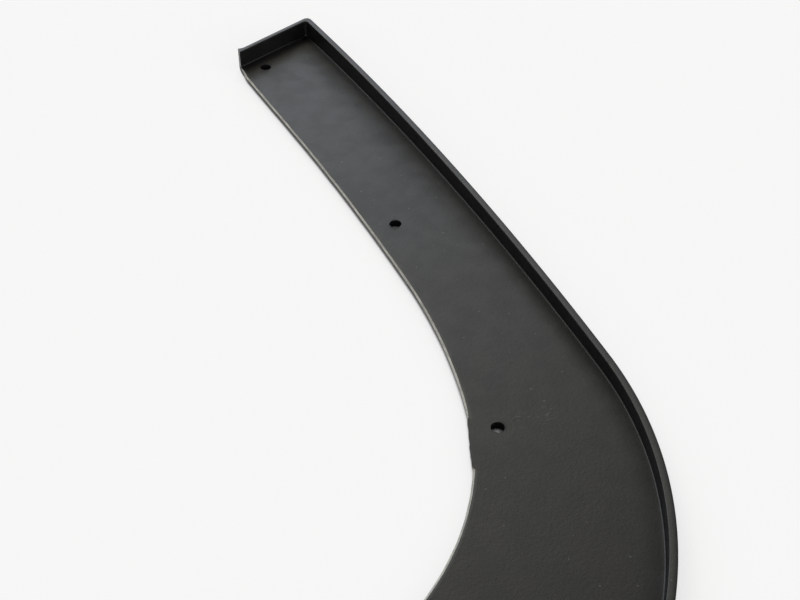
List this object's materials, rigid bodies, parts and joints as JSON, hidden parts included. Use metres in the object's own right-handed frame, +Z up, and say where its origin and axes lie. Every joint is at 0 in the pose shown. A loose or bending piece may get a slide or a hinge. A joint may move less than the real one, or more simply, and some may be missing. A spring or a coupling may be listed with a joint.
{
  "type": "front spoiler",
  "caption": "Moulded lip that screws under a car's front bumper: a flat plate bent round the nose, with a low rim along its outer edge and a return wall at each rear end.",
  "frame": {"origin": "on the underside, below the middle of the whole part's box", "axes": "+X across the car towards its left side, -Y forward, +Z up out of the tray, so the rim points up"},
  "size_m": [1.4988, 0.5134, 0.014],
  "materials": {
    "black_moulding": "satin black, as moulded, with a fine grain"
  },
  "bodies": {
    "root": {"front_spoiler": "black_moulding"}
  },
  "joints": []
}
